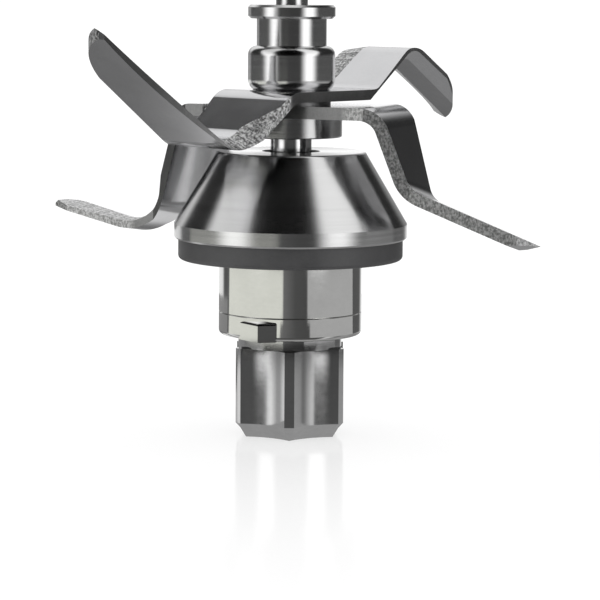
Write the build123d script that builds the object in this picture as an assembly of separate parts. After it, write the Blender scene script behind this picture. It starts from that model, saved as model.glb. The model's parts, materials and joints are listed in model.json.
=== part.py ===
from build123d import *
import math
import os

# Blender blade assembly: four bent cutting arms on a spindle that runs in a cone shaped bearing housing.
# Millimetres, +Z up. The origin is the centre of the drive coupling's lower face, on the spindle axis.
# Angles are seen from above, anticlockwise from +X. The photographed front faces -Y.

# Fitting clearances
slide_fit = 0.05
ball_clearance = 0.05
blade_clearance = 0.4

# How closely an edge is matched to the radius and height it is looked up by
edge_tolerance = 0.01

# Drive coupling: six lands with hollow flutes between them
coupling_radius = 12.75
coupling_flute_root_radius = 10.2
coupling_land_width = 2.1
coupling_height = 19.2
coupling_lobes = 6
coupling_lobe_angle = -90.0
coupling_chamfer_height = 3.1
coupling_chamfer_inset = 2.0
coupling_collar_radius = 11.1
coupling_collar_height = 2.3
coupling_recess_radius = 6.0
coupling_recess_depth = 5.0

# Spindle
spindle_radius = 4.0
spindle_flat_half_width = 3.2
spindle_thread_radius = 3.4
spindle_foot_gap = 0.1
spindle_tip_proud = 2.4
spindle_tip_chamfer = 0.6

# Coupling screw and its washer
screw_thread_radius = 2.5
screw_hole_depth = 12.0
screw_hole_spare = 1.0
screw_head_radius = 4.2
screw_head_height = 3.0
screw_hex_radius = 2.3
screw_hex_depth = 1.8
screw_washer_radius = 5.0
screw_washer_thickness = 0.8

# Bearing sleeve with its two bayonet lugs
sleeve_bottom = 21.8
sleeve_radius = 15.35
sleeve_top_radius = 13.4
sleeve_edge_round = 0.9
sleeve_groove_height = 4.7
sleeve_groove_width = 0.3
sleeve_groove_depth = 0.25
sleeve_flange_radius = 22.6
sleeve_flange_thickness = 2.2
sleeve_lip_radius = 9.4
sleeve_lip_height = 1.5
lug_count = 2
lug_height = 4.0
lug_corner_radius = 18.0
lug_corner_angle = -111.9
lug_face_end_radius = 16.2
lug_face_end_angle = -100.6
lug_heel_angle = -135.0
lug_heel_sink = 0.1
lug_edge_round = 0.5

# Gasket under the cone
gasket_bottom = 37.9
gasket_radius = 24.1
gasket_edge_round = 0.9

# Cone housing
rim_bottom = 42.4
rim_height = 3.2
rim_radius = 25.0
rim_edge_chamfer = 0.4
cone_top = 61.0
cone_top_radius = 15.9
cone_wall = 2.2
cone_top_wall = 2.4
cone_top_round = 0.7
cone_mouth_radius = 6.2

# Ball bearings
bearing_outer_radius = 11.0
bearing_width = 7.0
bearing_ring_wall = 1.9
bearing_ball_radius = 1.98
bearing_ball_count = 7
bearing_cage_thickness = 1.2
bearing_cage_height = 5.4
retaining_ring_thickness = 1.2
retaining_ring_wall = 1.8
retaining_ring_groove = 0.6
retaining_ring_mouth = 40.0
spacer_wall = 1.4

# Lip seal above the upper bearing and shield in the sleeve's foot
seal_height = 3.0
seal_body_wall = 1.6
seal_lip_gap = 0.05
seal_lip_land = 0.4
seal_lip_flare = 1.2
seal_lip_wall = 0.7
shield_recess = 0.2
shield_thickness = 1.0
shield_bore_radius = 5.6

# Wear sleeve, collar, blades and shim
wear_sleeve_radius = 4.4
collar_gap = 3.1
collar_radius = 10.9
collar_thickness = 4.4
collar_edge_round = 0.3
lower_blade_thickness = 2.6
upper_blade_thickness = 2.2
shim_radius = 8.4
shim_thickness = 0.8

# Cap nut
nut_height = 18.0
nut_foot_radius = 8.15
nut_barrel_radius = 9.3
nut_barrel_bottom = 2.2
nut_barrel_top = 7.4
nut_neck_radius = 7.45
nut_neck_bottom = 9.4
nut_flange_height = 2.9
nut_flange_chamfer = 0.5

# Wide sheet that every arm is cut from
sheet_back = 8.0
sheet_half_width = 20.0
sheet_reach = 60.0
web_join_share = 0.55
web_join_overlap = 0.1

# Ground edges: how far the wheel reaches over an arm and how deep it cuts for each millimetre across
grind_cover = 3.0
grind_reach = 16.0
grind_lift = 4.5
grind_lift_run = 15.0
grind_lift_radius = 6.0
front_grind_depth = 0.47
rear_grind_depth = 0.13
right_grind_depth = 0.45
left_grind_depth = 0.32
underside_grind_depth = 0.45

# Lower blade: each arm drops steeply beside the cone and then runs outward
lower_blade_angle = -24.0
lower_hub_half_width = 10.5
lower_bend_radius = 5.0
right_arm_angle = -22.0
right_bend_distance = 23.1
right_web_angle = 70.5
right_foot_distance = 29.6
right_foot_radius = 6.0
right_foot_skew = 13.7
right_tip_angle = 19.8
right_grind_start = 3.6
right_grind_run = 24.0
right_taper_start = 21.0
right_waist_distance = 30.0
right_waist_half_width = 7.0
right_tip_start = 52.5
right_tip_half_width = 3.3
right_tip_reach = 56.6
right_tip_grind_start = 22.6
right_tip_grind_angle = 25.0
left_arm_angle = 144.0
left_bend_distance = 19.5
left_web_angle = 67.0
left_foot_distance = 31.6
left_foot_radius = 10.0
left_foot_skew = -9.0
left_tip_angle = -11.8
left_grind_start = 7.4
left_grind_run = 9.4
left_taper_start = 20.0
left_waist_distance = 31.5
left_waist_half_width = 3.1
left_tip_start = 53.0
left_tip_half_width = 3.0
left_tip_reach = 57.5
left_tip_grind_start = 23.4
left_tip_grind_angle = 40.0

# Upper blade: one arm dips and rises far, the other rises and dips
upper_blade_angle = 46.0
upper_hub_half_width = 11.0
upper_bend_radius = 5.0
upper_valley_radius = 7.4
upper_crest_radius = 4.5
upper_taper_start = 11.0
upper_tip_flat = 1.6
upper_tip_bow = 2.1
front_bend_distance = 10.4
front_web_angle = 42.0
front_valley_distance = 23.0
front_tip_angle = -34.5
front_waist_distance = 25.0
front_lead_settle_distance = 31.0
front_lead_waist_half_width = 8.8
front_lead_half_width = 7.3
front_lead_hollow = 1.6
front_trail_waist_half_width = 10.2
front_trail_half_width = 7.6
front_grind_start = 3.6
front_grind_run = 6.8
front_curve_start = 48.0
front_tip_reach = 59.9
rear_bend_distance = 16.2
rear_web_angle = -36.4
rear_crest_distance = 29.3
rear_tip_angle = 34.2
rear_waist_distance = 28.0
rear_lead_settle_distance = 33.5
rear_lead_waist_half_width = 10.8
rear_lead_half_width = 5.6
rear_lead_hollow = 2.7
rear_trail_waist_half_width = 8.8
rear_trail_half_width = 9.2
rear_grind_start = 4.4
rear_grind_run = 14.0
rear_underside_run = 24.0
rear_lead_underside_start = 1.0
rear_lead_underside_distance = 31.0
rear_trail_underside_start = 5.5
rear_curve_start = 40.0
rear_tip_reach = 52.5

# Levels that follow from the sizes above
collar_bottom = cone_top + collar_gap
rim_top = rim_bottom + rim_height
collar_top = collar_bottom + collar_thickness
lower_blade_top = collar_top + lower_blade_thickness
shim_top = lower_blade_top + shim_thickness
upper_blade_top = shim_top + upper_blade_thickness
nut_top = upper_blade_top + nut_height
flange_top = rim_bottom + sleeve_flange_thickness
sleeve_top = cone_top - cone_top_wall
seal_bottom = sleeve_top - seal_height
lower_bearing_bottom = sleeve_bottom + sleeve_lip_height
lower_bearing_top = lower_bearing_bottom + bearing_width
upper_bearing_top = seal_bottom - retaining_ring_thickness
upper_bearing_bottom = upper_bearing_top - bearing_width
spacer_height = upper_bearing_bottom - lower_bearing_top
coupling_top = coupling_height + coupling_collar_height
spindle_foot = coupling_recess_depth + spindle_foot_gap
washer_bottom = coupling_recess_depth - screw_washer_thickness
shield_bottom = sleeve_bottom + shield_recess
wear_sleeve_height = collar_bottom - upper_bearing_top
ball_pitch_radius = (bearing_outer_radius + spindle_radius) / 2


def polar(radius, angle):
    """A point in plan at a radius and an angle in degrees."""
    return (radius * math.cos(math.radians(angle)), radius * math.sin(math.radians(angle)))


def turned(points):
    """A solid turned about the Z axis from a closed outline of (radius, height) points."""
    outline = make_face(Plane.XZ * Polyline(*points, close=True))
    return revolve(outline, Axis.Z)


def disc(radius, bottom, height):
    """A plain round disc or bar on the Z axis."""
    return Pos(0, 0, bottom) * extrude(Circle(radius), height)


def ring(outer, inner, bottom, height):
    """A plain ring on the Z axis."""
    return Pos(0, 0, bottom) * extrude(Circle(outer) - Circle(inner), height)


def circles_at(solid, radius, height):
    """The round edges of a solid at one radius and height."""
    edges = solid.edges().filter_by(GeomType.CIRCLE)
    level = edges.filter_by_position(Axis.Z, height - edge_tolerance, height + edge_tolerance)
    return [edge for edge in level if abs(edge.radius - radius) < edge_tolerance]


def flatted_bar(radius, half_width, bottom, top):
    """A round bar with two flats, as the spindle has where it drives the blades and the coupling."""
    section = Circle(radius) & Rectangle(2 * half_width, 3 * radius)
    return Pos(0, 0, bottom) * extrude(section, top - bottom)


def flatted_hole(bottom, top):
    """The hole that slides over the spindle's flats."""
    return flatted_bar(spindle_radius + slide_fit, spindle_flat_half_width + slide_fit, bottom, top)


# Drive coupling
def make_drive_coupling():
    half_land = math.degrees(math.asin(coupling_land_width / 2 / coupling_radius))
    land_edge = math.radians(180 / coupling_lobes - half_land)
    reach = coupling_radius * math.cos(land_edge) - coupling_flute_root_radius
    flute_centre = (coupling_radius**2 - coupling_flute_root_radius**2) / (2 * reach)
    flute_radius = flute_centre - coupling_flute_root_radius
    section = Circle(coupling_radius)
    for lobe in range(coupling_lobes):
        angle = coupling_lobe_angle + (lobe + 0.5) * 360 / coupling_lobes
        section -= Pos(*polar(flute_centre, angle)) * Circle(flute_radius)
    body = Pos(0, 0, coupling_chamfer_height) * extrude(section, coupling_height - coupling_chamfer_height)
    taper = math.degrees(math.atan(coupling_chamfer_inset / coupling_chamfer_height))
    foot = extrude(Pos(0, 0, coupling_chamfer_height) * section, -coupling_chamfer_height, taper=taper)
    collar = disc(coupling_collar_radius, coupling_height, coupling_collar_height)
    recess = disc(coupling_recess_radius, 0, coupling_recess_depth)
    return body + foot + collar - recess - flatted_hole(0, coupling_top)


# Spindle with flats at both ends and a threaded tip, drawn as a plain cylinder
def make_spindle():
    tip_top = nut_top + spindle_tip_proud
    lower_flats = flatted_bar(spindle_radius, spindle_flat_half_width, spindle_foot, coupling_top)
    journal = disc(spindle_radius, coupling_top, collar_bottom - coupling_top)
    upper_flats = flatted_bar(spindle_radius, spindle_flat_half_width, collar_bottom, upper_blade_top)
    tip = disc(spindle_thread_radius, upper_blade_top, tip_top - upper_blade_top)
    tip = chamfer(circles_at(tip, spindle_thread_radius, tip_top), spindle_tip_chamfer)
    screw_hole = disc(screw_thread_radius, spindle_foot, screw_hole_depth)
    return lower_flats + journal + upper_flats + tip - screw_hole


# Screw that holds the coupling on the spindle, with its washer
def make_coupling_screw():
    head_bottom = washer_bottom - screw_head_height
    head = disc(screw_head_radius, head_bottom, screw_head_height)
    socket = Pos(0, 0, head_bottom) * extrude(RegularPolygon(screw_hex_radius, 6), screw_hex_depth)
    shank_top = spindle_foot + screw_hole_depth - screw_hole_spare
    return head + disc(screw_thread_radius, washer_bottom, shank_top - washer_bottom) - socket


def make_coupling_washer():
    return ring(screw_washer_radius, screw_thread_radius + slide_fit, washer_bottom, screw_washer_thickness)


# Bearing sleeve: one turned piece with an outer flange, a retaining lip and two milled bayonet lugs
def make_bearing_sleeve():
    groove = sleeve_bottom + sleeve_groove_height
    outline = [
        (sleeve_lip_radius, sleeve_bottom),
        (sleeve_radius, sleeve_bottom),
        (sleeve_radius, groove),
        (sleeve_radius - sleeve_groove_depth, groove + sleeve_groove_width / 2),
        (sleeve_radius, groove + sleeve_groove_width),
        (sleeve_radius, rim_bottom),
        (sleeve_flange_radius, rim_bottom),
        (sleeve_flange_radius, flange_top),
        (sleeve_top_radius, flange_top),
        (sleeve_top_radius, sleeve_top),
        (bearing_outer_radius, sleeve_top),
        (bearing_outer_radius, lower_bearing_bottom),
        (sleeve_lip_radius, lower_bearing_bottom),
    ]
    body = turned(outline)
    body = fillet(circles_at(body, sleeve_radius, sleeve_bottom), sleeve_edge_round)
    body -= disc(bearing_outer_radius + retaining_ring_groove, upper_bearing_top, retaining_ring_thickness)
    for count in range(lug_count):
        body += Rot(0, 0, count * 360 / lug_count) * make_lug()
    return body


def make_lug():
    inner = (bearing_outer_radius + sleeve_radius) / 2
    outline = Polyline(
        polar(inner, lug_heel_angle),
        polar(sleeve_radius - lug_heel_sink, lug_heel_angle),
        polar(lug_corner_radius, lug_corner_angle),
        polar(lug_face_end_radius, lug_face_end_angle),
        polar(inner, lug_face_end_angle),
        close=True,
    )
    lug = Pos(0, 0, sleeve_bottom) * extrude(make_face(outline), lug_height)
    return fillet(lug.faces().sort_by(Axis.Z)[-1].outer_wire().edges(), lug_edge_round)


def make_gasket():
    gasket = ring(gasket_radius, sleeve_radius, gasket_bottom, rim_bottom - gasket_bottom)
    return fillet(circles_at(gasket, gasket_radius, gasket_bottom), gasket_edge_round)


# Cone housing: a thin turned shell, open below, that the sleeve's flange closes
def make_cone_housing():
    slope = (rim_radius - cone_top_radius) / (cone_top - rim_top)
    shift = cone_wall * math.hypot(1, slope)
    rim_inner = sleeve_flange_radius
    inner_shoulder = rim_top - (rim_inner - rim_radius + shift) / slope
    outline = [
        (rim_inner, rim_bottom),
        (rim_radius - rim_edge_chamfer, rim_bottom),
        (rim_radius, rim_bottom + rim_edge_chamfer),
        (rim_radius, rim_top),
        (cone_top_radius, cone_top),
        (cone_mouth_radius, cone_top),
        (cone_mouth_radius, sleeve_top),
        (rim_radius - shift - slope * (sleeve_top - rim_top), sleeve_top),
        (rim_inner, inner_shoulder),
    ]
    body = turned(outline)
    return fillet(circles_at(body, cone_top_radius, cone_top), cone_top_round)


# Ball bearings: each has an outer ring, an inner ring, balls and a cage
def make_bearing_ring(inner, bottom):
    middle = bottom + bearing_width / 2
    groove = Pos(0, 0, middle) * Torus(ball_pitch_radius, bearing_ball_radius + ball_clearance)
    if inner:
        return ring(spindle_radius + bearing_ring_wall, spindle_radius, bottom, bearing_width) - groove
    inner_radius = bearing_outer_radius - bearing_ring_wall
    return ring(bearing_outer_radius, inner_radius, bottom, bearing_width) - groove


def make_bearing_balls(bottom):
    middle = bottom + bearing_width / 2
    spots = PolarLocations(ball_pitch_radius, bearing_ball_count)
    return Compound(children=[Pos(0, 0, middle) * spot * Sphere(bearing_ball_radius) for spot in spots])


def make_bearing_cage(bottom):
    inner = ball_pitch_radius - bearing_cage_thickness / 2
    cage_bottom = bottom + (bearing_width - bearing_cage_height) / 2
    cage = ring(inner + bearing_cage_thickness, inner, cage_bottom, bearing_cage_height)
    pocket = Cylinder(bearing_ball_radius + ball_clearance, 4 * bearing_cage_thickness, rotation=(0, 90, 0))
    for spot in PolarLocations(ball_pitch_radius, bearing_ball_count):
        cage -= Pos(0, 0, bottom + bearing_width / 2) * spot * pocket
    return cage


def make_spacer(outer):
    return ring(outer, outer - spacer_wall, lower_bearing_top, spacer_height)


# Retaining ring: an open ring that snaps into the sleeve's groove
def make_retaining_ring():
    outer = bearing_outer_radius + retaining_ring_groove
    section = Circle(outer) - Circle(outer - retaining_ring_wall - retaining_ring_groove)
    half = math.radians(retaining_ring_mouth / 2)
    reach = 2 * outer
    wedge = Polyline((0, 0), (reach, reach * math.tan(half)), (reach, -reach * math.tan(half)), close=True)
    section -= make_face(wedge)
    return Pos(0, 0, upper_bearing_top) * extrude(section, retaining_ring_thickness)


def make_shaft_seal():
    lip = wear_sleeve_radius + seal_lip_gap
    web_bottom = sleeve_top - seal_body_wall
    land_top = sleeve_top - seal_lip_wall
    outline = [
        (bearing_outer_radius, seal_bottom),
        (bearing_outer_radius, sleeve_top),
        (lip + seal_lip_flare, sleeve_top),
        (lip, land_top),
        (lip, land_top - seal_lip_land),
        (lip + seal_lip_flare, web_bottom),
        (bearing_outer_radius - seal_body_wall, web_bottom),
        (bearing_outer_radius - seal_body_wall, seal_bottom),
    ]
    return turned(outline)


# Cap nut: rounded barrel, waisted neck and a flange on top
def make_cap_nut():
    barrel_bottom = upper_blade_top + nut_barrel_bottom
    barrel_top = upper_blade_top + nut_barrel_top
    neck_bottom = upper_blade_top + nut_neck_bottom
    flange_bottom = nut_top - nut_flange_height
    profile = [
        TangentArc((nut_barrel_radius, barrel_bottom), (nut_foot_radius, upper_blade_top), tangent=(0, -1)),
        Line((nut_barrel_radius, barrel_bottom), (nut_barrel_radius, barrel_top)),
        TangentArc((nut_barrel_radius, barrel_top), (nut_neck_radius, neck_bottom), tangent=(0, 1)),
        Polyline(
            (nut_neck_radius, neck_bottom),
            (nut_neck_radius, flange_bottom),
            (nut_barrel_radius, flange_bottom),
            (nut_barrel_radius, nut_top),
            (spindle_thread_radius, nut_top),
            (spindle_thread_radius, upper_blade_top),
            (nut_foot_radius, upper_blade_top),
        ),
    ]
    nut = revolve(make_face(Plane.XZ * (Curve() + profile)), Axis.Z)
    for level in (flange_bottom, nut_top):
        nut = chamfer(circles_at(nut, nut_barrel_radius, level), nut_flange_chamfer)
    return nut


def make_blade_collar():
    body = disc(collar_radius, collar_bottom, collar_thickness)
    body = fillet(circles_at(body, collar_radius, collar_bottom), collar_edge_round)
    return body - flatted_hole(collar_bottom, collar_top)


def make_blade_shim():
    return disc(shim_radius, lower_blade_top, shim_thickness) - flatted_hole(lower_blade_top, shim_top)


# Blades: bent sheets, cut to an outline in plan
def sheet_section(points, radii, low, high):
    """The section of a bent sheet between two distances from the line through its corner points."""
    sides = []
    for offset in (high, low):
        corners = []
        rounds = []
        for index, point in enumerate(points):
            before = Vector(*points[max(index - 1, 0)])
            here = Vector(*point)
            after = Vector(*points[min(index + 1, len(points) - 1)])
            into = (here - before).normalized() if index > 0 else (after - here).normalized()
            out = (after - here).normalized() if index < len(points) - 1 else into
            turn = math.radians(into.get_signed_angle(out, Vector(0, 0, 1)))
            normal = Vector(-into.Y - out.Y, into.X + out.X).normalized()
            corners.append(here + normal * (offset / math.cos(turn / 2)))
            if 0 < index < len(points) - 1:
                rounds.append(radii[index - 1] - offset * (1 if turn > 0 else -1))
        sides.append((corners, rounds))
    (left, left_rounds), (right, right_rounds) = sides
    edges = Curve() + [
        FilletPolyline(*left, radius=left_rounds),
        Line(left[-1], right[-1]),
        FilletPolyline(*right, radius=right_rounds),
        Line(right[0], left[0]),
    ]
    return make_face(edges)


class Arm:
    """One arm of a blade along +X: a flat root, a sloping web and a tip, as a wide sheet.
    Angles are downward slopes. The second bend may be skewed across the web."""

    def __init__(self, thickness, middle, bend, web_angle, foot, tip_angle, bend_radius, foot_radius, skew=0):
        slope = math.radians(web_angle)
        drop = (foot - bend) * math.tan(slope)
        web_length = (foot - bend) / math.cos(slope)
        web_end = (bend + (foot - bend) * web_join_share, middle - drop * web_join_share)
        root_line = [(-sheet_back, middle), (bend, middle), web_end]
        root = Plane.XZ * sheet_section(root_line, [bend_radius], -thickness / 2, thickness / 2)
        lean = math.radians(skew)
        down = Vector(math.cos(slope), 0, -math.sin(slope))
        across = Vector(0, 1, 0)
        away = down * math.cos(lean) - across * math.sin(lean)
        self.bend_line = down * math.sin(lean) + across * math.cos(lean)
        self.plane = Plane(origin=(foot, 0, middle - drop), x_dir=away, z_dir=-self.bend_line)
        self.turn = math.radians(web_angle - tip_angle)
        self.tip = (sheet_reach * math.cos(self.turn), sheet_reach * math.sin(self.turn))
        self.foot_radius = foot_radius
        self.half_thickness = thickness / 2
        web_run = web_length * (1 - web_join_share + web_join_overlap)
        outer_line = [(-web_run, 0), (0, 0), self.tip]
        outer = self.plane * sheet_section(outer_line, [foot_radius], -thickness / 2, thickness / 2)
        self.sheet = extrude(root, sheet_half_width, both=True) + extrude(outer, sheet_half_width, both=True)

    def ground(self, side, start, depth, web_run, face=1):
        """What a wheel takes off the upper (1) or under (-1) face, from a start out to one side's edge.
        The wheel lifts off the web above its run."""
        line = [(-web_run - grind_lift_run, face * grind_lift), (-web_run, 0), (0, 0), self.tip]
        low, high = sorted((face * self.half_thickness, face * (self.half_thickness + grind_cover)))
        section = sheet_section(line, [grind_lift_radius, self.foot_radius], low, high)
        middle = self.turn / 2
        sink = self.plane.x_dir * math.sin(middle) - self.plane.y_dir * math.cos(middle)
        direction = self.bend_line * side + sink * (face * depth)
        return extrude(self.plane * Pos(0, 0, -side * start) * section, grind_reach, dir=direction)

    def ground_tip(self, start, angle, face):
        """The wedge taken off the upper (1) or under (-1) face from a start past the bend to the tip."""
        along = Vector(math.cos(self.turn), math.sin(self.turn))
        out = Vector(-along.Y, along.X) * face
        sink = (sheet_reach - start) * math.tan(math.radians(angle))
        heel = along * start + out * self.half_thickness
        end = along * sheet_reach + out * self.half_thickness
        wedge = make_face(Polyline(heel, end, end - out * sink, close=True))
        return extrude(self.plane * wedge, sheet_half_width, both=True)


def pointed_outline(hub_half_width, taper_start, waist, waist_half_width, tip_start, tip_half_width, reach):
    """Plan outline of an arm along +X that tapers evenly to a point."""
    side = [
        (0, hub_half_width),
        (taper_start, hub_half_width),
        (waist, waist_half_width),
        (tip_start, tip_half_width),
    ]
    mirrored = [(x, -y) for x, y in reversed(side)]
    return make_face(Polyline(*side, (reach, 0), *mirrored, close=True))


def swept_outline(
    waist, lead_waist, settle, lead_half_width, lead_hollow, trail_waist, trail_half_width, curve_start, reach
):
    """Plan outline of an upper arm along +X: the +Y edge leads and is hollow, the other curves to the tip."""
    sides = Polyline(
        (curve_start, -trail_half_width),
        (waist, -trail_waist),
        (upper_taper_start, -upper_hub_half_width),
        (0, -upper_hub_half_width),
        (0, upper_hub_half_width),
        (upper_taper_start, upper_hub_half_width),
        (waist, lead_waist),
        (settle, lead_half_width),
    )
    lead_edge = SagittaArc(sides @ 1, (reach, lead_half_width), -lead_hollow)
    tip_flat = Line(lead_edge @ 1, (reach, lead_half_width - upper_tip_flat))
    trail_edge = SagittaArc(tip_flat @ 1, sides @ 0, upper_tip_bow)
    return make_face(Curve() + [sides, lead_edge, tip_flat, trail_edge])


# Lower blade, with a notch that clears the front arm of the upper blade
def make_lower_blade():
    middle = lower_blade_top - lower_blade_thickness / 2
    right = Arm(
        lower_blade_thickness,
        middle,
        right_bend_distance,
        right_web_angle,
        right_foot_distance,
        right_tip_angle,
        lower_bend_radius,
        right_foot_radius,
        right_foot_skew,
    )
    left = Arm(
        lower_blade_thickness,
        middle,
        left_bend_distance,
        left_web_angle,
        left_foot_distance,
        left_tip_angle,
        lower_bend_radius,
        left_foot_radius,
        left_foot_skew,
    )
    right_outline = pointed_outline(
        lower_hub_half_width,
        right_taper_start,
        right_waist_distance,
        right_waist_half_width,
        right_tip_start,
        right_tip_half_width,
        right_tip_reach,
    )
    left_outline = pointed_outline(
        lower_hub_half_width,
        left_taper_start,
        left_waist_distance,
        left_waist_half_width,
        left_tip_start,
        left_tip_half_width,
        left_tip_reach,
    )
    outline = Rot(0, 0, lower_blade_angle) * (right_outline + Rot(0, 0, 180) * left_outline)
    notch_start = front_bend_distance - blade_clearance
    notch = Rectangle(front_valley_distance - notch_start, 2 * (upper_hub_half_width + blade_clearance))
    outline -= Rot(0, 0, upper_blade_angle + 180) * Pos((front_valley_distance + notch_start) / 2, 0) * notch
    right_sheet = right.sheet - right.ground(1, right_grind_start, right_grind_depth, right_grind_run)
    right_sheet -= right.ground_tip(right_tip_grind_start, right_tip_grind_angle, -1)
    left_sheet = left.sheet - left.ground(1, left_grind_start, left_grind_depth, left_grind_run)
    left_sheet -= left.ground_tip(left_tip_grind_start, left_tip_grind_angle, 1)
    sheet = Rot(0, 0, right_arm_angle) * right_sheet + Rot(0, 0, left_arm_angle) * left_sheet
    return (sheet & extrude(outline, nut_top)) - flatted_hole(collar_top, nut_top)


def make_upper_blade():
    middle = upper_blade_top - upper_blade_thickness / 2
    front = Arm(
        upper_blade_thickness,
        middle,
        front_bend_distance,
        front_web_angle,
        front_valley_distance,
        front_tip_angle,
        upper_bend_radius,
        upper_valley_radius,
    )
    rear = Arm(
        upper_blade_thickness,
        middle,
        rear_bend_distance,
        rear_web_angle,
        rear_crest_distance,
        rear_tip_angle,
        upper_bend_radius,
        upper_crest_radius,
    )
    front_outline = swept_outline(
        front_waist_distance,
        front_lead_waist_half_width,
        front_lead_settle_distance,
        front_lead_half_width,
        front_lead_hollow,
        front_trail_waist_half_width,
        front_trail_half_width,
        front_curve_start,
        front_tip_reach,
    )
    rear_outline = swept_outline(
        rear_waist_distance,
        rear_lead_waist_half_width,
        rear_lead_settle_distance,
        rear_lead_half_width,
        rear_lead_hollow,
        rear_trail_waist_half_width,
        rear_trail_half_width,
        rear_curve_start,
        rear_tip_reach,
    )
    front_sheet = front.sheet - front.ground(1, front_grind_start, front_grind_depth, front_grind_run)
    rear_sheet = rear.sheet - rear.ground(1, rear_grind_start, rear_grind_depth, rear_grind_run)
    rear_sheet -= rear.ground(-1, rear_trail_underside_start, underside_grind_depth, rear_underside_run, -1)
    lead_underside = rear.ground(1, rear_lead_underside_start, underside_grind_depth, rear_underside_run, -1)
    before_tip = Rectangle(2 * rear_lead_underside_distance, 4 * sheet_half_width)
    rear_sheet -= lead_underside - extrude(before_tip, 2 * nut_top)
    sheet = Rot(0, 0, 180) * front_sheet + rear_sheet
    outline = Rot(0, 0, 180) * front_outline + rear_outline
    blade = Rot(0, 0, upper_blade_angle) * (sheet & extrude(outline, 2 * nut_top))
    return blade - flatted_hole(collar_top, nut_top)


parts = {
    "drive_coupling": make_drive_coupling(),
    "coupling_screw": make_coupling_screw(),
    "coupling_washer": make_coupling_washer(),
    "spindle": make_spindle(),
    "bearing_sleeve": make_bearing_sleeve(),
    "foot_shield": ring(sleeve_lip_radius, shield_bore_radius, shield_bottom, shield_thickness),
    "gasket": make_gasket(),
    "cone_housing": make_cone_housing(),
    "lower_bearing_outer_ring": make_bearing_ring(False, lower_bearing_bottom),
    "lower_bearing_inner_ring": make_bearing_ring(True, lower_bearing_bottom),
    "lower_bearing_balls": make_bearing_balls(lower_bearing_bottom),
    "lower_bearing_cage": make_bearing_cage(lower_bearing_bottom),
    "outer_spacer": make_spacer(bearing_outer_radius),
    "inner_spacer": make_spacer(spindle_radius + spacer_wall),
    "upper_bearing_outer_ring": make_bearing_ring(False, upper_bearing_bottom),
    "upper_bearing_inner_ring": make_bearing_ring(True, upper_bearing_bottom),
    "upper_bearing_balls": make_bearing_balls(upper_bearing_bottom),
    "upper_bearing_cage": make_bearing_cage(upper_bearing_bottom),
    "retaining_ring": make_retaining_ring(),
    "shaft_seal": make_shaft_seal(),
    "wear_sleeve": ring(wear_sleeve_radius, spindle_radius, upper_bearing_top, wear_sleeve_height),
    "blade_collar": make_blade_collar(),
    "lower_blade": make_lower_blade(),
    "blade_shim": make_blade_shim(),
    "upper_blade": make_upper_blade(),
    "cap_nut": make_cap_nut(),
}

os.makedirs("parts", exist_ok=True)
for name, part in parts.items():
    export_step(part, f"parts/{name}.step")
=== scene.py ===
import json
import math

import bmesh
import bpy
from mathutils import Matrix, Vector

# Looks of the blender blade assembly. Metres, +Z up, the photographed front faces -Y.

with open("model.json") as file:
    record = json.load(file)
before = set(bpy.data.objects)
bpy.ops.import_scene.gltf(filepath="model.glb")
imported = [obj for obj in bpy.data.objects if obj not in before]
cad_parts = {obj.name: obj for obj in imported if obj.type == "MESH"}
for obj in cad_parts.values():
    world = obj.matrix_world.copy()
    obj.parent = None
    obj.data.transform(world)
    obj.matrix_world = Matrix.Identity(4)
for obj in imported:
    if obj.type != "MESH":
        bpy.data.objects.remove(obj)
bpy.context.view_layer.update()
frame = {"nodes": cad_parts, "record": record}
nodes = frame["nodes"]
scene = bpy.context.scene

# Material helpers


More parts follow.
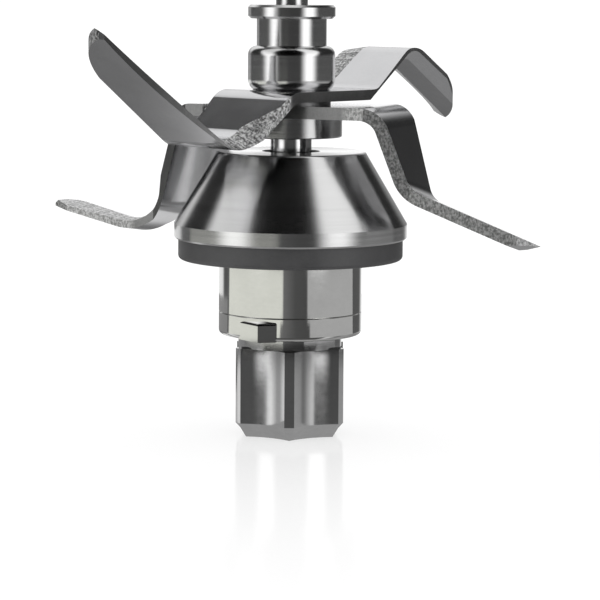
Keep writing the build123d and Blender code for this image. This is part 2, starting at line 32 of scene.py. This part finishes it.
class Graph:
    """A material's node tree with short ways to add and join nodes."""

    def __init__(self, name, kind="ShaderNodeBsdfPrincipled"):
        self.material = bpy.data.materials.new(name)
        self.material.use_nodes = True
        self.tree = self.material.node_tree
        self.tree.nodes.clear()
        self.output = self.add("ShaderNodeOutputMaterial")
        self.shader = self.add(kind)
        self.join(self.shader, 0, self.output, "Surface")

    def add(self, kind, **values):
        node = self.tree.nodes.new(kind)
        for key, value in values.items():
            if key in node.inputs:
                node.inputs[key].default_value = value
            else:
                setattr(node, key, value)
        return node

    def join(self, source, out, target, into):
        self.tree.links.new(source.outputs[out], target.inputs[into])

    def put(self, value, socket):
        """A number, vector or link put into a socket."""
        if isinstance(value, bpy.types.NodeSocket):
            self.tree.links.new(value, socket)
        else:
            socket.default_value = value

    def maths(self, operation, a, b=None):
        node = self.add("ShaderNodeMath", operation=operation)
        for index, value in enumerate((a, b)):
            if value is not None:
                self.put(value, node.inputs[index])
        return node.outputs[0]

    def total(self, *terms):
        """The sum of (value, weight) pairs."""
        result = 0.0
        for value, weight in terms:
            result = self.maths("ADD", self.maths("MULTIPLY", value, weight), result)
        return result

    def dot(self, vector, axis):
        node = self.add("ShaderNodeVectorMath", operation="DOT_PRODUCT")
        self.tree.links.new(vector, node.inputs[0])
        node.inputs[1].default_value = axis
        return node.outputs["Value"]

    def position(self):
        """The object's own coordinates in millimetres, as separate X, Y and Z."""
        coordinates = self.add("ShaderNodeTexCoord")
        scale = self.add("ShaderNodeVectorMath", operation="SCALE")
        scale.inputs["Scale"].default_value = 1000.0
        self.tree.links.new(coordinates.outputs["Object"], scale.inputs[0])
        split = self.add("ShaderNodeSeparateXYZ")
        self.tree.links.new(scale.outputs[0], split.inputs[0])
        return scale.outputs[0], split.outputs[0], split.outputs[1], split.outputs[2]

    def distance(self, x, y):
        """How far a point lies from the vertical axis."""
        squares = self.total((self.maths("MULTIPLY", x, x), 1.0), (self.maths("MULTIPLY", y, y), 1.0))
        return self.maths("SQRT", squares)

    def vector(self, x, y, z):
        node = self.add("ShaderNodeCombineXYZ")
        for index, value in enumerate((x, y, z)):
            self.put(value, node.inputs[index])
        return node.outputs[0]

    def noise(self, vector, scale, detail, roughness):
        node = self.add("ShaderNodeTexNoise", Scale=scale, Detail=detail, Roughness=roughness)
        self.tree.links.new(vector, node.inputs["Vector"])
        return node.outputs["Fac"]

    def span(self, value, low, high, to_low=0.0, to_high=1.0, smooth=False):
        node = self.add("ShaderNodeMapRange")
        if smooth:
            node.interpolation_type = "SMOOTHSTEP"
        self.tree.links.new(value, node.inputs["Value"])
        for key, end in (("From Min", low), ("From Max", high), ("To Min", to_low), ("To Max", to_high)):
            self.put(end, node.inputs[key])
        return node.outputs["Result"]

    def mix(self, factor, a, b):
        node = self.add("ShaderNodeMix", data_type="RGBA")
        for index, value in ((0, factor), (6, a), (7, b)):
            self.put((*value, 1.0) if isinstance(value, tuple) else value, node.inputs[index])
        return node.outputs[2]

    def ramp(self, value, stops):
        """A run of colours or levels over a value from 0 to 1."""
        node = self.add("ShaderNodeValToRGB")
        elements = node.color_ramp.elements
        while len(elements) < len(stops):
            elements.new(0.5)
        for element, (at, level) in zip(elements, stops):
            color = level if isinstance(level, tuple) else (level, level, level)
            element.position = at
            element.color = (*color, 1.0)
        self.put(value, node.inputs["Fac"])
        return node.outputs["Color"]

    def bump(self, height, strength, distance):
        node = self.add("ShaderNodeBump", Strength=strength, Distance=distance)
        self.tree.links.new(height, node.inputs["Height"])
        self.tree.links.new(node.outputs["Normal"], self.shader.inputs["Normal"])

    def feed(self, value, socket):
        self.tree.links.new(value, self.shader.inputs[socket])


def turned_steel(name, dark, light, rough_low, rough_high, ring_scale, ring_depth=0.00001):
    """Lathe turned steel: fine rings along the height, a little cloud in tone and roughness."""
    g = Graph(name)
    place, x, y, z = g.position()
    radius = g.distance(x, y)
    # Along the profile, so that the rings show on flat tops as well as on walls
    path = g.total((z, 1.0), (radius, 0.9))
    angle = g.maths("ARCTAN2", y, x)
    rings = g.noise(g.vector(path, g.maths("MULTIPLY", angle, 0.12), 0.0), ring_scale, 3.0, 0.65)
    coarse = g.noise(g.vector(path, g.maths("MULTIPLY", angle, 0.05), 3.0), ring_scale * 0.22, 2.0, 0.6)
    cloud = g.noise(place, 0.09, 2.0, 0.5)
    tone = g.total((rings, 0.45), (coarse, 0.35), (cloud, 0.2))
    g.feed(g.mix(g.span(tone, 0.35, 0.65), dark, light), "Base Color")
    g.feed(g.span(tone, 0.3, 0.7, rough_low, rough_high), "Roughness")
    g.shader.inputs["Metallic"].default_value = 1.0
    g.shader.inputs["Anisotropic"].default_value = 0.7
    g.shader.inputs["Anisotropic Rotation"].default_value = 0.25
    tangent = g.add("ShaderNodeTangent", direction_type="RADIAL", axis="Z")
    g.join(tangent, "Tangent", g.shader, "Tangent")
    g.bump(rings, 0.35, ring_depth)
    return g.material


def polished_steel(name, dark, light, rough_low, rough_high):
    """Smooth steel with a faint cloud and fine scuffs."""
    g = Graph(name)
    place, x, y, z = g.position()
    cloud = g.noise(place, 0.12, 3.0, 0.55)
    stretched = g.vector(g.maths("MULTIPLY", x, 0.4), g.maths("MULTIPLY", y, 0.4), z)
    scuff = g.noise(stretched, 1.5, 4.0, 0.7)
    tone = g.total((cloud, 0.6), (scuff, 0.4))
    g.feed(g.mix(g.span(tone, 0.35, 0.65), dark, light), "Base Color")
    g.feed(g.span(tone, 0.3, 0.7, rough_low, rough_high), "Roughness")
    g.shader.inputs["Metallic"].default_value = 1.0
    g.bump(scuff, 0.25, 0.000004)
    return g.material


def rubber(name, dark, light):
    """Moulded rubber: a dull sheen, with a fine grain and a light bloom."""
    g = Graph(name)
    place, x, y, z = g.position()
    cloud = g.noise(place, 0.15, 3.0, 0.6)
    grain = g.noise(place, 2.2, 4.0, 0.7)
    tone = g.total((cloud, 0.6), (grain, 0.4))
    g.feed(g.mix(g.span(tone, 0.35, 0.65), dark, light), "Base Color")
    g.feed(g.span(tone, 0.3, 0.7, 0.42, 0.56), "Roughness")
    g.shader.inputs["Specular IOR Level"].default_value = 0.8
    g.bump(grain, 0.3, 0.00003)
    return g.material


def plastic(name, dark, light):
    """Moulded plastic with a fine spark texture."""
    g = Graph(name)
    place, x, y, z = g.position()
    grain = g.noise(place, 3.5, 4.0, 0.7)
    g.feed(g.mix(g.span(grain, 0.35, 0.65), dark, light), "Base Color")
    g.feed(g.span(grain, 0.3, 0.7, 0.4, 0.6), "Roughness")
    g.bump(grain, 0.3, 0.00002)
    return g.material


def arm_axes(angle, web_angle, skew):
    """The direction across an arm, and the line of its second bend, from the angles it is bent to."""
    turn, slope, lean = (math.radians(value) for value in (angle, web_angle, skew))
    line = Vector((math.cos(slope) * math.sin(lean), math.cos(lean), -math.sin(slope) * math.sin(lean)))
    across = Vector((-math.sin(turn), math.cos(turn), 0.0))
    return tuple(across), tuple(Matrix.Rotation(turn, 3, "Z") @ line)


# How far a face's normal leans across its arm where it counts as a cut wall or as ground, where a face
# counts as pointing down, and over how many millimetres the grinding fades out along a wall
wall_lean = (0.72, 0.8)
ground_lean = (0.05, 0.09)
downward_limit = (-0.4, -0.3)
ground_fade = 2.0


def blade_steel(name, arms, ground_walls, wheel_dark):
    """Satin rolled sheet, with dull cut walls and edges ground by a coarse wheel.

    Only ground faces and cut walls lean across their arm, which tells them from the sheet's two faces.
    Each arm, right and left, has its angles and the two radii between which its walls are ground."""
    g = Graph(name)
    place, x, y, z = g.position()
    normal = g.add("ShaderNodeTexCoord").outputs["Normal"]
    leans = []
    along = []
    for angle, web_angle, skew in arms:
        across, line = arm_axes(angle, web_angle, skew)
        lean = g.maths(
            "MINIMUM", g.maths("ABSOLUTE", g.dot(normal, across)), g.maths("ABSOLUTE", g.dot(normal, line))
        )
        leans.append(lean)
        along.append(g.dot(place, (across[1], -across[0], 0.0)))
    on_right = g.maths("GREATER_THAN", x, 0.0)

    def by_side(right, left):
        return g.span(on_right, 0.0, 1.0, left, right)

    lean = by_side(*leans)
    run = by_side(*along)
    radius = g.distance(x, y)
    wall = g.span(lean, *wall_lean)
    (right_start, right_end), (left_start, left_end) = ground_walls
    start = by_side(right_start, left_start)
    end = by_side(right_end, left_end)
    past_start = g.span(g.maths("SUBTRACT", radius, start), 0.0, ground_fade)
    before_end = g.span(g.maths("SUBTRACT", end, radius), 0.0, ground_fade)
    between = g.maths("MULTIPLY", past_start, before_end)
    face = g.span(lean, *ground_lean)
    upward = g.span(g.dot(normal, (0.0, 0.0, 1.0)), *downward_limit)
    ground = g.maths("MULTIPLY", g.maths("MULTIPLY", face, upward), g.span(wall, 0.0, 1.0, 1.0, between))
    cloud = g.noise(place, 0.1, 3.0, 0.55)
    grain = g.noise(place, 2.4, 5.0, 0.75)
    rolled = g.total((cloud, 0.5), (grain, 0.5))
    scratches = g.noise(g.vector(run, g.maths("MULTIPLY", z, 0.4), 0.0), 2.2, 2.0, 0.6)
    pits = g.noise(place, 2.0, 2.0, 0.6)
    wheel = g.total((scratches, 0.45), (pits, 0.55))
    spread = g.span(rolled, 0.35, 0.65)
    sheet_tone = g.mix(spread, (0.6, 0.6, 0.61), (0.68, 0.68, 0.69))
    wheel_tone = g.mix(g.span(wheel, 0.41, 0.59), (wheel_dark, wheel_dark, wheel_dark), (0.97, 0.97, 0.97))
    cut_tone = g.mix(spread, (0.2, 0.2, 0.2), (0.32, 0.32, 0.32))
    cut = g.maths("MULTIPLY", wall, upward)
    g.feed(g.mix(ground, g.mix(cut, sheet_tone, cut_tone), wheel_tone), "Base Color")
    sheet_rough = g.maths("ADD", g.span(rolled, 0.3, 0.7, 0.12, 0.18), g.maths("MULTIPLY", cut, 0.2))
    wheel_rough = g.span(wheel, 0.3, 0.7, 0.45, 0.6)
    g.feed(g.span(ground, 0.0, 1.0, sheet_rough, wheel_rough), "Roughness")
    g.shader.inputs["Metallic"].default_value = 1.0
    relief = g.span(ground, 0.0, 1.0, g.maths("MULTIPLY", grain, 0.2), g.maths("MULTIPLY", wheel, 2.0))
    g.bump(relief, 0.4, 0.00003)
    return g.material


materials = {
    name: make(name, *values)
    for make, name, *values in (
        (turned_steel, "cone_steel", (0.62, 0.62, 0.62), (0.72, 0.72, 0.72), 0.16, 0.24, 1.6),
        (turned_steel, "nut_steel", (0.64, 0.64, 0.64), (0.72, 0.72, 0.72), 0.14, 0.22, 1.9, 0.000008),
        (turned_steel, "collar_steel", (0.55, 0.55, 0.55), (0.64, 0.64, 0.64), 0.2, 0.3, 1.8),
        (turned_steel, "spacer_aluminium", (0.66, 0.66, 0.68), (0.76, 0.76, 0.78), 0.25, 0.35, 1.5),
        (polished_steel, "sleeve_steel", (0.64, 0.64, 0.63), (0.7, 0.7, 0.69), 0.04, 0.08),
        (polished_steel, "coupling_steel", (0.6, 0.6, 0.6), (0.68, 0.68, 0.68), 0.05, 0.09),
        (polished_steel, "spindle_steel", (0.6, 0.6, 0.6), (0.68, 0.68, 0.68), 0.15, 0.22),
        (polished_steel, "wear_sleeve_steel", (0.62, 0.62, 0.62), (0.7, 0.7, 0.7), 0.1, 0.16),
        (polished_steel, "shim_steel", (0.2, 0.2, 0.2), (0.28, 0.28, 0.28), 0.35, 0.5),
        (polished_steel, "screw_steel", (0.12, 0.12, 0.125), (0.2, 0.2, 0.205), 0.3, 0.45),
        (polished_steel, "washer_steel", (0.5, 0.5, 0.5), (0.6, 0.6, 0.6), 0.25, 0.4),
        (polished_steel, "bearing_steel", (0.55, 0.55, 0.57), (0.65, 0.65, 0.67), 0.12, 0.2),
        (polished_steel, "ball_steel", (0.7, 0.7, 0.72), (0.78, 0.78, 0.8), 0.04, 0.08),
        (polished_steel, "spring_steel", (0.06, 0.06, 0.065), (0.11, 0.11, 0.115), 0.35, 0.5),
        (rubber, "gasket_rubber", (0.045, 0.045, 0.047), (0.065, 0.065, 0.067)),
        (rubber, "seal_rubber", (0.012, 0.012, 0.013), (0.025, 0.025, 0.026)),
        (plastic, "shield_plastic", (0.015, 0.015, 0.015), (0.03, 0.03, 0.03)),
        (plastic, "cage_plastic", (0.5, 0.45, 0.34), (0.62, 0.57, 0.45)),
    )
}
# Arms as they are bent: angle, web angle and skew in degrees, on the right and on the left. An arm whose
# second bend lies square across it needs only its angle.
lower_arms = [(-22.0, 70.5, 13.7), (144.0, 67.0, -9.0)]
upper_arms = [(46.0, 0.0, 0.0), (226.0, 0.0, 0.0)]
# Radii in millimetres between which the walls are ground, on the right and on the left
past_the_tips = 90.0
lower_ground_walls = ((19.0, past_the_tips), (36.0, past_the_tips))
upper_ground_walls = ((80.0, past_the_tips), (9.0, 24.0))
blade_materials = {
    "lower_blade": blade_steel("lower_blade_steel", lower_arms, lower_ground_walls, wheel_dark=0.4),
    "upper_blade": blade_steel("upper_blade_steel", upper_arms, upper_ground_walls, wheel_dark=0.16),
}
slots = {part["node"]: part["material_slot"] for part in frame["record"]["subparts"]}
for name, node in nodes.items():
    for index in range(len(node.material_slots)):
        node.material_slots[index].material = blade_materials.get(name) or materials[slots[name]]

# Camera: a long lens, seven degrees down, rolled a little as the photograph is
camera_data = bpy.data.cameras.new("camera")
camera_data.lens = 162.0
camera_data.sensor_width = 36.0
camera_data.clip_start = 0.05
camera_data.clip_end = 100.0
camera = bpy.data.objects.new("camera", camera_data)
scene.collection.objects.link(camera)
camera_place = Vector((0.00212, -0.5769, 0.09944))
camera_pitch = 6.97
camera_roll = 0.37
level_turn = Matrix.Rotation(math.radians(90.0 - camera_pitch), 4, "X")
camera_turn = level_turn @ Matrix.Rotation(math.radians(camera_roll), 4, "Z")
camera.matrix_world = Matrix.Translation(camera_place) @ camera_turn
scene.camera = camera


# Studio: a glossy white table between two tall soft boxes. The table mirrors more near the foot (share of
# the light, and radius in millimetres) than far from it.
table_half_width = 30.0
table_glow = 0.75
near_reflection, far_reflection = 0.2, 0.06
near_radius, far_radius = 20.0, 190.0
card_height = -0.0005
card_steps = 32
card_turn = 118.0
dome_radius = 8.0
degrees_per_radian = 57.2958
cream = (0.92, 0.93, 0.86)


def studio_piece(name, points, faces, material, reflected_only=False):
    """A floor, card or wall of the studio, which isn't part of the object."""
    mesh = bpy.data.meshes.new(name)
    mesh.from_pydata(points, [], faces)
    mesh.materials.append(material)
    made = bpy.data.objects.new(name, mesh)
    scene.collection.objects.link(made)
    if reflected_only:
        for ray in ("camera", "diffuse", "transmission", "volume_scatter", "shadow"):
            setattr(made, f"visible_{ray}", False)
    return made


def table_material():
    """White to the camera, with a faint shadow and reflection near the object; open to reflections."""
    g = Graph("table", "ShaderNodeEmission")
    g.shader.inputs["Strength"].default_value = table_glow
    paths = g.add("ShaderNodeLightPath")
    matt = g.add("ShaderNodeBsdfDiffuse", Color=(0.36, 0.36, 0.36, 1.0))
    gloss = g.add("ShaderNodeBsdfGlossy", Color=(1.0, 1.0, 1.0, 1.0), Roughness=0.12)
    both = g.add("ShaderNodeAddShader")
    g.join(g.shader, 0, both, 0)
    g.join(matt, 0, both, 1)
    seen = g.add("ShaderNodeMixShader")
    place, x, y, z = g.position()
    flat = g.distance(x, y)
    g.put(g.span(flat, near_radius, far_radius, near_reflection, far_reflection), seen.inputs[0])
    g.join(both, 0, seen, 1)
    g.join(gloss, 0, seen, 2)
    plain = g.add("ShaderNodeBsdfDiffuse", Color=(0.9, 0.9, 0.9, 1.0))
    choose = g.add("ShaderNodeMixShader")
    g.join(paths, "Is Camera Ray", choose, 0)
    g.join(plain, 0, choose, 1)
    g.join(seen, 0, choose, 2)
    clear = g.add("ShaderNodeBsdfTransparent")
    final = g.add("ShaderNodeMixShader")
    g.join(paths, "Is Glossy Ray", final, 0)
    g.join(choose, 0, final, 1)
    g.join(clear, 0, final, 2)
    g.join(final, 0, g.output, "Surface")
    return g.material


def azimuth_of(g, x, y):
    """Degrees from the front, positive to the right."""
    return g.maths("MULTIPLY", g.maths("ARCTAN2", x, g.maths("MULTIPLY", y, -1.0)), degrees_per_radian)


def over_a_turn(g, azimuth, stops):
    """Tones that run over the azimuth, from -180 to 180 degrees."""
    return g.ramp(g.span(azimuth, -180.0, 180.0), [((at + 180.0) / 360.0, tone) for at, tone in stops])


def dome_material():
    """What polished metal sees of the studio, by azimuth from the front and elevation, in degrees."""
    g = Graph("studio_dome", "ShaderNodeEmission")
    place, x, y, z = g.position()
    flat = g.distance(x, y)
    azimuth = azimuth_of(g, x, y)
    height = g.maths("MULTIPLY", g.maths("ARCTAN2", z, flat), degrees_per_radian)
    around = g.maths("ABSOLUTE", azimuth)
    # Dark in front, a little lighter to the sides, light overhead
    low = g.span(around, 60.0, 95.0, 0.085, 0.12, smooth=True)
    high = g.span(around, 60.0, 95.0, 0.0, 0.03, smooth=True)
    level = g.span(height, -4.0, 12.0, low, high)
    level = g.maths("ADD", level, g.span(height, 74.0, 86.0, 0.0, 0.8, smooth=True))
    # Behind: a bright table end below the horizon, a dim band, then a bright ceiling
    lowest, highest = -10.0, 50.0
    behind_stops = ((-4.5, 0.85), (-2.5, 0.2), (6.0, 0.25), (15.0, 0.75), (28.0, 0.95))
    placed = [((at - lowest) / (highest - lowest), tone) for at, tone in behind_stops]
    behind = g.ramp(g.span(height, lowest, highest), placed)
    left_end = g.span(height, 0.0, 30.0, -131.0, -135.0)
    left_mask = g.span(azimuth, left_end, g.maths("SUBTRACT", left_end, 12.0), 0.0, 1.0, smooth=True)
    right_mask = g.span(azimuth, 146.0, 168.0, 0.0, 1.0, smooth=True)
    mask = g.maths("ADD", left_mask, right_mask)
    level = g.maths("ADD", level, g.maths("MULTIPLY", behind, mask))
    middle = g.maths("MULTIPLY", g.span(around, 168.0, 175.0), g.span(height, 14.0, 8.0, 0.0, 1.2))
    level = g.maths("MAXIMUM", level, middle)

    # Two tall soft boxes, which lean apart, widen and dim on the way up
    def up_the_box(low, high):
        return g.span(height, -7.0, 43.0, low, high)

    for low_centre, high_centre, low_peak, high_peak in (
        (-54.0, -82.0, 1.65, 0.82),
        (45.5, 66.0, 1.8, 1.12),
    ):
        aside = g.maths("ABSOLUTE", g.maths("SUBTRACT", azimuth, up_the_box(low_centre, high_centre)))
        off = g.maths("DIVIDE", aside, up_the_box(14.5, 28.0))
        peak = up_the_box(low_peak, high_peak)
        box = g.span(off, up_the_box(0.2, 0.7), up_the_box(1.7, 1.2), peak, 0.0, smooth=True)
        level = g.maths("ADD", level, box)
    # Capped on the way up, where the boxes and the light overhead add up
    level = g.maths("MINIMUM", level, g.span(height, 12.0, 40.0, 2.2, 1.12))
    # Low down the coupling sees bands of its own
    coupling_bands = (
        (-150, 0.9), (-127, 0.6), (-118, 0.97), (-108, 0.8), (-99, 0.45), (-90, 0.47), (-83, 0.74),
        (-74, 1.1), (-67, 0.9), (-62, 0.44), (-57, 0.2), (-52, 0.12), (-45, 0.1), (-20, 0.11),
        (40, 0.09), (49, 0.1), (53, 0.12), (57, 0.22), (60, 0.6), (63, 0.72), (67, 0.72), (75, 0.47),
        (81, 0.27), (87, 0.2), (96, 0.37), (106, 0.39), (125, 0.4), (150, 0.6), (180, 0.9),
    )
    level = g.mix(g.span(height, -8.05, -8.2), level, over_a_turn(g, azimuth, coupling_bands))
    # Steeply under the back it is a dim even grey
    under = g.maths("MULTIPLY", g.span(height, -11.0, -14.0), g.span(around, 115.0, 130.0))
    g.feed(g.mix(under, level, (0.3, 0.3, 0.3)), "Color")
    return g.material


def card(name, inner, outer, start, end, stops, outward=False):
    """A card just under the table's clear top, between two radii and two azimuths from the front.

    Its tones run over the azimuth, or outward over the radius in metres."""
    g = Graph(name, "ShaderNodeEmission")
    place, x, y, z = g.position()
    if outward:
        flat = g.distance(x, y)
        g.feed(g.ramp(g.maths("MULTIPLY", flat, 0.001), stops), "Color")
    else:
        g.feed(over_a_turn(g, azimuth_of(g, x, y), stops), "Color")
    points = []
    for radius in (inner, outer):
        for step in range(card_steps + 1):
            turn = math.radians(start + (end - start) * step / card_steps)
            points.append((radius * math.sin(turn), -radius * math.cos(turn), card_height))
    row = card_steps + 1
    faces = [(step, step + 1, step + row + 1, step + row) for step in range(card_steps)]
    return studio_piece(name, points, faces, g.material, reflected_only=True)


def sleeve_tones(cream_end, middle, grey_start):
    """Flat tones with sharp limits: cream on the left, dark in the middle, grey on the right."""
    left = [(-113.2, 0.16), (-112.4, cream), (cream_end, cream), (cream_end + 1.0, 0.2)]
    right = [(middle, 0.1), (grey_start, 0.09), (grey_start + 1.0, 0.53), (114.0, 0.53)]
    return left + right


table_corners = [
    (x * table_half_width, y * table_half_width, 0.0) for x, y in ((-1, -1), (1, -1), (1, 1), (-1, 1))
]
studio_piece("table", table_corners, [(0, 1, 2, 3)], table_material())
# What the foot, the neck ring and the sleeve mirror in front, and the arms' undersides behind
# The grey disc under the foot is painted shade: it stands in for the table in the shadow under the foot, seen
# only in reflections
card("foot_shadow_card", 0.0001, 0.03, -180.0, 180.0, [(-180, 0.4), (180, 0.4)])
card("neck_card", 0.145, 0.165, -card_turn, card_turn, [(-62, 0.2), (-55, 0.02), (58, 0.02), (64, 0.2)])
card("lower_sleeve_card", 0.165, 0.219, -card_turn, card_turn, sleeve_tones(-15.5, 10.0, 30.5))
card("sleeve_card", 0.219, 0.375, -card_turn, card_turn, sleeve_tones(-11.5, 8.0, 26.5))
back_tones = ((0.03, 0.9), (0.06, 0.8), (0.075, 0.32), (0.09, 0.2), (0.115, 0.18), (0.14, 0.28), (0.26, 0.32))
card("back_card", 0.03, 0.26, 167.0, 242.0, back_tones, outward=True)

shell = bmesh.new()
bmesh.ops.create_uvsphere(shell, u_segments=48, v_segments=24, radius=dome_radius)
dome = studio_piece("studio_dome", [], [], dome_material(), reflected_only=True)
shell.to_mesh(dome.data)
shell.free()

# World: an even white studio
world = bpy.data.worlds.new("studio")
scene.world = world
world.use_nodes = True
tree = world.node_tree
tree.nodes.clear()
world_output = tree.nodes.new("ShaderNodeOutputWorld")
background = tree.nodes.new("ShaderNodeBackground")
background.inputs["Color"].default_value = (1.0, 1.0, 1.0, 1.0)
background.inputs["Strength"].default_value = 1.0
tree.links.new(background.outputs[0], world_output.inputs["Surface"])

scene.view_settings.view_transform = "Standard"
